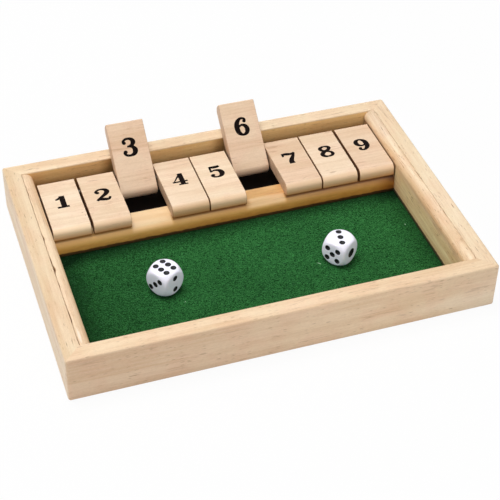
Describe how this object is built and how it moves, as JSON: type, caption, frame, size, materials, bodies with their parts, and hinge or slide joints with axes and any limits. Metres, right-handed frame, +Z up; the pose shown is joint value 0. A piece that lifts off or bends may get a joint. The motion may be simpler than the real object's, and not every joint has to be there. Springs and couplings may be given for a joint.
{
  "type": "shut the box game",
  "caption": "Shallow open wooden tray with a felt floor, a row of hinged number tiles on a rod along the back, and two loose dice.",
  "frame": {"origin": "middle of the footprint of the frame, at its underside", "axes": "+X to the right of a player who sits in front of the open tray, +Y from the player to the tiles, +Z up"},
  "size_m": [0.25, 0.1757, 0.0485],
  "materials": {
    "frame_wood": "clear matt lacquer on a pale hardwood",
    "tile_wood": "clear matt lacquer on a pale hardwood, printed number",
    "rail_wood": "golden brown varnish",
    "dark_board": "dark stained hardboard",
    "felt": "dark green felt",
    "rod_steel": "plain drawn steel",
    "pin_steel": "plain steel pin heads",
    "die_plastic": "polished white with black pips"
  },
  "bodies": {
    "case": {"front_wall": "frame_wood", "back_wall": "frame_wood", "left_wall": "frame_wood", "right_wall": "frame_wood", "base_panel": "dark_board", "base_pins": "pin_steel", "felt_mat": "felt", "left_strip": "frame_wood", "right_strip": "frame_wood", "tile_rail": "rail_wood", "pivot_rod": "rod_steel"},
    "tile_1": {"tile_1": "tile_wood"},
    "tile_2": {"tile_2": "tile_wood"},
    "tile_3": {"tile_3": "tile_wood"},
    "tile_4": {"tile_4": "tile_wood"},
    "tile_5": {"tile_5": "tile_wood"},
    "tile_6": {"tile_6": "tile_wood"},
    "tile_7": {"tile_7": "tile_wood"},
    "tile_8": {"tile_8": "tile_wood"},
    "tile_9": {"tile_9": "tile_wood"},
    "die_left": {"die_left": "die_plastic"},
    "die_right": {"die_right": "die_plastic"}
  },
  "joints": [
    {"name": "tile_1_turn", "type": "hinge", "parent": "case", "child": "tile_1", "pos_m": [-0.09609, 0.0605, 0.021], "axis": [-1, 0, 0], "range_deg": [0, 138.46]},
    {"name": "tile_2_turn", "type": "hinge", "parent": "case", "child": "tile_2", "pos_m": [-0.07179, 0.0605, 0.021], "axis": [-1, 0, 0], "range_deg": [0, 138.46]},
    {"name": "tile_3_turn", "type": "hinge", "parent": "case", "child": "tile_3", "pos_m": [-0.04796, 0.0605, 0.021], "axis": [-1, 0, 0], "range_deg": [-138.46, 0]},
    {"name": "tile_4_turn", "type": "hinge", "parent": "case", "child": "tile_4", "pos_m": [-0.02378, 0.0605, 0.021], "axis": [-1, 0, 0], "range_deg": [0, 138.46]},
    {"name": "tile_5_turn", "type": "hinge", "parent": "case", "child": "tile_5", "pos_m": [-0.00024, 0.0605, 0.021], "axis": [-1, 0, 0], "range_deg": [0, 138.46]},
    {"name": "tile_6_turn", "type": "hinge", "parent": "case", "child": "tile_6", "pos_m": [0.02402, 0.0605, 0.021], "axis": [-1, 0, 0], "range_deg": [-138.46, 0]},
    {"name": "tile_7_turn", "type": "hinge", "parent": "case", "child": "tile_7", "pos_m": [0.0482, 0.0605, 0.021], "axis": [-1, 0, 0], "range_deg": [0, 138.46]},
    {"name": "tile_8_turn", "type": "hinge", "parent": "case", "child": "tile_8", "pos_m": [0.07191, 0.0605, 0.021], "axis": [-1, 0, 0], "range_deg": [0, 138.46]},
    {"name": "tile_9_turn", "type": "hinge", "parent": "case", "child": "tile_9", "pos_m": [0.09629, 0.0605, 0.021], "axis": [-1, 0, 0], "range_deg": [0, 138.46]},
    {"name": "die_left_lift", "type": "slide", "parent": "case", "child": "die_left", "axis": [0, 0, 1], "range_m": [0, 0.04]},
    {"name": "die_right_lift", "type": "slide", "parent": "case", "child": "die_right", "axis": [0, 0, 1], "range_m": [0, 0.04]}
  ]
}
